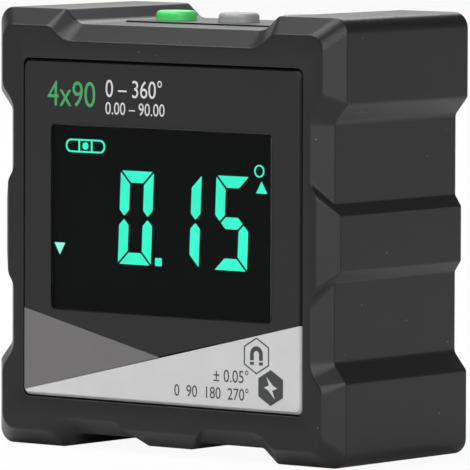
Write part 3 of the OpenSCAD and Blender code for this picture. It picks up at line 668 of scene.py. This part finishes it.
def key_skin(node_name):
    """A key from its top down: a shallow dome, an edge rounded by a quarter circle, straight sides, a flange
    under the plate and a round stem. Place and height are those of the key's node."""
    (_, _, height), (x, y, middle) = box_mm(node_name)
    foot, top = middle - height / 2, middle + height / 2
    turn = np.linspace(np.pi / 2, 0, EDGE_RINGS)
    inwards = np.concatenate([DOME_RINGS, KEY_EDGE * (1 - np.cos(turn)), [0, 0]])
    dome = top - KEY_DOME * (DOME_RINGS[0] - DOME_RINGS) / (DOME_RINGS[0] - KEY_EDGE)
    edge = top - KEY_DOME - KEY_EDGE * (1 - np.sin(turn))
    heights = np.concatenate([dome, edge, [edge[-1] - KEY_DOME, FLANGE[1]]])
    rings = [facing_up(box_path(*(KEY_SIZE - 2 * by), KEY_R - CORNER_SHARE * by), z, x, y)
             for by, z in zip(inwards, heights)]
    flange = box_path(*(KEY_SIZE + 2 * FLANGE_LAP), KEY_R + FLANGE_LAP)
    # The stem's points start at the same corner as the flange's
    stem = STEM_R * unit_circle(len(flange), -3 * np.pi / 4)
    rings += [facing_up(flange, z, x, y) for z in FLANGE[::-1]]
    rings += [facing_up(stem, z, x, y) for z in (FLANGE[0], foot)]
    return loft(rings)


def key_plastic(name, colour):
    """Moulded ABS of a key. The eye sees a clear colour with a soft sheen and hardly any grain."""
    return grained(name, colour, grain=0.25, relief=0.003, mottle=0.04, rough=0.4, shine=0.4)


green_plastic = key_plastic("green ABS key", "#50d66e")
grey_plastic = key_plastic("grey ABS key", "#9b9c9e")
for node_name, material, slot_name in (("green_key", green_plastic, "green_plastic"),
                                       ("centre_key", grey_plastic, "grey_plastic"),
                                       ("right_key", grey_plastic, "grey_plastic")):
    cap = make_object(node_name + "_cap", key_skin(node_name))
    dress(cap, material)
    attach(cap, node_name + "_body")
    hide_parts(node_name)
dress(nodes["key_plate"], body_plastic)


# Back
# The real piece is a flat ABS cover let into the rim on a rubber ring and held by four blackened screws.
# The eye sees the body's own plastic, screws with a dark satin gleam, and dull rubber in the seam.
screw_steel = grained("blackened steel screw", "#55565a", grain=0.1, relief=0.001, mottle=0.1, rough=0.35,
                      metal=1.0)
seal_rubber = grained("black seal rubber", "#1b1b1c", grain=0.2, relief=0.004, rough=0.75, shine=0.3)
dress(nodes["rear_cover"], body_plastic)
dress(nodes["cover_screws"], screw_steel)
dress(nodes["cover_seal"], seal_rubber)
dress(nodes["key_seal"], seal_rubber)


# Inside
# The real pieces are a green circuit board with its chips, the display holder and light guide, the charging
# socket in the left wall, the battery on the cover and bar magnets behind the measuring edges.

# Nickel plate is bright, with a soft mirror
bright_steel = grained("nickel-plated steel", "#c9cbce", grain=0.08, relief=0.0005, mottle=0.05, rough=0.28,
                       metal=1.0)
# Solder mask is a glossy green over the board's weave
board_mask = grained("green solder mask", "#1d6a44", grain=0.4, relief=0.004, rough=0.35)
# Chips are a dull black with the tooth of their mould
chip_black = grained("moulded chip epoxy", "#1d1e20", grain=0.12, relief=0.003, rough=0.6, shine=0.3)
# Resistors and capacitors are matt tan
fired_ceramic = grained("fired ceramic", "#b08d57", grain=0.1, relief=0.002, rough=0.5)
# The lamps' phosphor is a pale yellow
lamp_phosphor = grained("lamp phosphor", "#f2e9a8", grain=0.1, relief=0.001, rough=0.4)
# The display's holder is a clean matt white
white_frame = grained("white ABS frame", "#e6e6e2", grain=0.3, relief=0.003, rough=0.5)
# The light guide is a smooth milky white
milky_acrylic = grained("milky acrylic", "#f1f5ef", grain=0.5, relief=0.001, rough=0.3)
# The cell's foil is a crinkled silver
cell_foil = grained("aluminium cell foil", "#b9c2cc", grain=0.6, relief=0.01, rough=0.35, metal=1.0)
# The leads have smooth red sleeves
lead_sleeve = grained("red lead sleeve", "#b3261e", grain=0.2, relief=0.002, rough=0.45)
# The battery's pad is a dull grey with open pores
grey_foam = grained("grey foam", "#55585c", grain=0.35, relief=0.08, rough=0.9, shine=0.2)
# The switches' plungers are a smooth cream
plunger_plastic = grained("cream switch plunger", "#d9d4c5", grain=0.2, relief=0.002, rough=0.45)
# The magnets are plated in a darker, satin nickel
magnet_metal = grained("nickel-plated magnet", "#a9adb2", grain=0.15, relief=0.001, rough=0.3, metal=1.0)
inside = {
    "charging_socket": (bright_steel, "steel"),
    "board_screws": (bright_steel, "steel"),
    "main_board": (board_mask, "board_green"),
    "microcontroller": (chip_black, "chip_black"),
    "tilt_sensor": (chip_black, "chip_black"),
    "charger_chip": (chip_black, "chip_black"),
    "key_switches": (chip_black, "chip_black"),
    "small_parts": (fired_ceramic, "small_part_tan"),
    "backlight_leds": (lamp_phosphor, "lamp_yellow"),
    "lcd_holder": (white_frame, "white_plastic"),
    "light_guide": (milky_acrylic, "milky_plastic"),
    "contact_strips": (seal_rubber, "seal_rubber"),
    "battery": (cell_foil, "cell_foil"),
    "battery_leads": (lead_sleeve, "lead_red"),
    "battery_pad": (grey_foam, "foam"),
}
inside.update({f"{key}_plunger": (plunger_plastic, "cream_plastic") for key in ("green", "centre", "right")})
inside.update({f"{edge}_magnets": (magnet_metal, "magnet") for edge in ("left", "right", "top", "bottom")})
for node_name, (material, slot_name) in inside.items():
    dress(nodes[node_name], material)


# Studio
# A white paper sweep: a floor that turns up into a wall, low in front and high behind the object, under a
# dim ceiling. Soft lights stand overhead, behind on the left and on the right, and a long lens looks on.
YAW = radians(38.544)
FLOOR_CENTRE = 10.0
FLOOR_FLAT = 2000.0
SWEEP_RADIUS = 6000.0
SWEEP_BEND = 300.0
WALL_FRONT = 50.0
WALL_BEHIND = 2600.0
SWEEP_SIDES = 96
BEND_STEPS = 8
circle = unit_circle(SWEEP_SIDES)
sweep_rings = [facing_up(circle * radius, 0.0) for radius in (FLOOR_CENTRE, FLOOR_FLAT)]
for bend in np.linspace(0, np.pi / 2, BEND_STEPS + 1):
    ring = circle * (SWEEP_RADIUS + SWEEP_BEND * np.sin(bend))
    sweep_rings.append(facing_up(ring, SWEEP_BEND * (1 - np.cos(bend))))
wall_top = facing_up(circle * (SWEEP_RADIUS + SWEEP_BEND), 0.0)
behind = np.maximum(0, circle @ (-np.sin(YAW), np.cos(YAW))) ** 2
wall_top[:, 2] = SWEEP_BEND + WALL_FRONT + WALL_BEHIND * behind
sweep_vertices, sweep_faces = loft(sweep_rings + [wall_top])
floor = make_object("floor", (sweep_vertices, sweep_faces[:-1]))
floor.data.flip_normals()

# Seen directly, the paper is plain white with the object's shadow. Where the object mirrors it, it is dark
# close by, as a floor in shade is, and grows lighter over the reach of that shade
SHADE_REACH = 14.0
MIRRORED_WHITE = 0.72
WHITE_SHARE = 0.94
PAPER_GRAIN = 25.0
PAPER_LOW, PAPER_HIGH = 0.78, 0.80
floor_material, tree, output, place = new_material("white paper sweep")
path = add_node(tree, "LightPath", {})
spread = add_node(tree, "VectorMath", {0: place}, operation="ABSOLUTE")
clear = add_node(tree, "VectorMath", {0: spread.outputs[0], 1: (HALF / 1000, DEPTH / 2000, 0)},
                 operation="SUBTRACT")
sides = add_node(tree, "SeparateXYZ", {0: clear.outputs[0]})
away = add_node(tree, "Math", {0: sides.outputs["X"], 1: sides.outputs["Y"]}, operation="MAXIMUM")
open_floor = add_node(tree, "MapRange", {"Value": away.outputs[0], "From Max": SHADE_REACH / 1000,
                                         "To Max": MIRRORED_WHITE})
mirrored = add_node(tree, "Math", {0: path.outputs["Is Glossy Ray"], 1: open_floor.outputs[0]},
                    operation="MULTIPLY")
seen = add_node(tree, "Math", {0: path.outputs["Is Camera Ray"], 1: mirrored.outputs[0]}, operation="ADD")
seen = add_node(tree, "Math", {0: seen.outputs[0], 1: path.outputs["Is Transmission Ray"]}, operation="ADD")
share = add_node(tree, "Math", {0: seen.outputs[0], 1: WHITE_SHARE}, operation="MULTIPLY", use_clamp=True)
paper = add_node(tree, "TexNoise", {"Vector": place, "Scale": 1000 / PAPER_GRAIN})
tone = add_node(tree, "MapRange", {"Value": paper.outputs[0], "To Min": PAPER_LOW, "To Max": PAPER_HIGH})
matt = add_node(tree, "BsdfDiffuse", {"Color": tone.outputs[0]})
white = add_node(tree, "Emission", {"Strength": 1.0})
sweep = add_node(tree, "MixShader", {0: share.outputs[0], 1: matt.outputs[0], 2: white.outputs[0]})
tree.links.new(sweep.outputs[0], output.inputs["Surface"])
floor.data.materials.append(floor_material)

CEILING_LIGHT = 0.15
world = bpy.data.worlds.new("studio")
bpy.context.scene.world = world
world.use_nodes = True
tree = world.node_tree
tree.nodes.clear()
ceiling = add_node(tree, "Background", {"Color": (1, 1, 1, 1), "Strength": CEILING_LIGHT})
add_node(tree, "OutputWorld", {"Surface": ceiling.outputs[0]})

OBJECT_MIDDLE = Vector((0, 0, 0.03))


def soft_light(name, place, size, watts):
    """A square soft light at a place in metres, turned towards the middle of the object."""
    lamp = bpy.data.lights.new(name, "AREA")
    lamp.size = size
    lamp.energy = watts
    made = bpy.data.objects.new(name, lamp)
    bpy.context.scene.collection.objects.link(made)
    made.location = place
    made.rotation_euler = (OBJECT_MIDDLE - Vector(place)).to_track_quat("-Z", "Y").to_euler()


soft_light("overhead", (-0.38, -0.45, 0.92), 0.8, 10.2)
soft_light("behind", (-0.51, 0.63, 0.78), 0.7, 5.5)
soft_light("right", (0.85, -0.68, 0.46), 0.9, 9.2)

# The camera's turn, its place and reach in metres, lens and sensor in mm, and shift in pixels of the frame
PITCH = radians(4.045)
ROLL = radians(0.14)
CAMERA_PLACE = (0.615606, -0.772883, 0.099872)
LENS = 556.25
SENSOR = 36
SEEN_TO = 50
SHIFT_X, SHIFT_Y = 8.512, -5.699
FRAME_PIXELS = 470
camera_data = bpy.data.cameras.new("camera")
camera_data.sensor_width = SENSOR
camera_data.lens = LENS
camera_data.shift_x = SHIFT_X / FRAME_PIXELS
camera_data.shift_y = SHIFT_Y / FRAME_PIXELS
camera_data.clip_end = SEEN_TO
camera = bpy.data.objects.new("camera", camera_data)
bpy.context.scene.collection.objects.link(camera)
upright = Matrix.Rotation(YAW, 4, "Z") @ Matrix.Rotation(radians(90) - PITCH, 4, "X")
camera.location = CAMERA_PLACE
camera.rotation_euler = (upright @ Matrix.Rotation(ROLL, 4, "Z")).to_euler()
bpy.context.scene.camera = camera
bpy.context.scene.view_settings.view_transform = "Standard"
